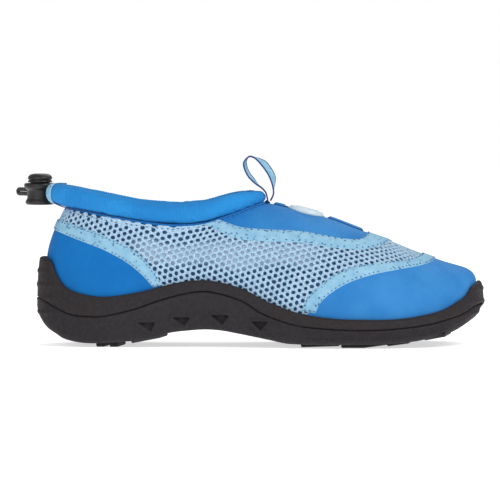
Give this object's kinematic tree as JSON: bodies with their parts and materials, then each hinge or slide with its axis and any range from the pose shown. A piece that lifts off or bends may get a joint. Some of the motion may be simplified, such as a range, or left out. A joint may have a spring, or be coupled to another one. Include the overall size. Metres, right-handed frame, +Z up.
{
  "type": "water shoe",
  "caption": "Low slip-on water shoe with a rubber cup sole, mesh and neoprene upper, padded drawcord collar, sliding cord lock and pull loop.",
  "frame": {"origin": "on the ground under the middle of the shoe's overall length and width", "axes": "+X towards the toe, +Y towards the inner side of the foot, +Z up"},
  "size_m": [0.2623, 0.0935, 0.1055],
  "materials": {
    "sole_rubber": "moulded charcoal rubber, fine matte grain",
    "foam": "closed-cell foam",
    "board": "woven insole board",
    "insole_cloth": "dark knit over foam",
    "lining_cloth": "pale brushed knit",
    "air_mesh": "grey-blue spacer mesh with staggered holes",
    "neoprene": "blue neoprene with knit face",
    "trim": "light blue trim, dark blue stitching",
    "badge": "pale mint moulded badge, plain raised wave",
    "collar_neoprene": "blue ribbed neoprene",
    "cord": "black elastic cord",
    "lock_plastic": "black glossy plastic",
    "spring_steel": "steel wire"
  },
  "bodies": {
    "root": {"outsole": "sole_rubber", "rand": "sole_rubber", "midsole": "foam", "insole_board": "board", "insole": "insole_cloth", "lining": "lining_cloth", "mesh_panel": "air_mesh", "heel_panel": "neoprene", "toe_panel": "neoprene", "instep_panel": "neoprene", "heel_trim": "trim", "toe_trim": "trim", "throat_trim": "trim", "instep_welt": "neoprene", "instep_badge": "badge", "collar": "collar_neoprene", "collar_foam": "foam", "cord_exit_patch": "trim", "drawcord": "cord"},
    "cord_lock": {"cord_lock_barrel": "lock_plastic", "cord_lock_spring": "spring_steel"},
    "lock_button": {"cord_lock_button": "lock_plastic"},
    "loop": {"pull_loop": "trim"}
  },
  "joints": [
    {"name": "cord_lock_slide", "type": "slide", "parent": "root", "child": "cord_lock", "axis": [-0.7314, 0.682, 0], "range_m": [0, 0.006]},
    {"name": "lock_button_press", "type": "slide", "parent": "cord_lock", "child": "lock_button", "axis": [0, 0, -1], "range_m": [0, 0.0016], "stiffness_N_per_m": 1500, "springref_m": -0.002, "deforming": ["cord_lock_spring"]},
    {"name": "pull_loop_flop", "type": "hinge", "parent": "root", "child": "loop", "pos_m": [0.0104, 0, 0.0795], "axis": [0, 1, 0], "range_deg": [0, 35]}
  ]
}
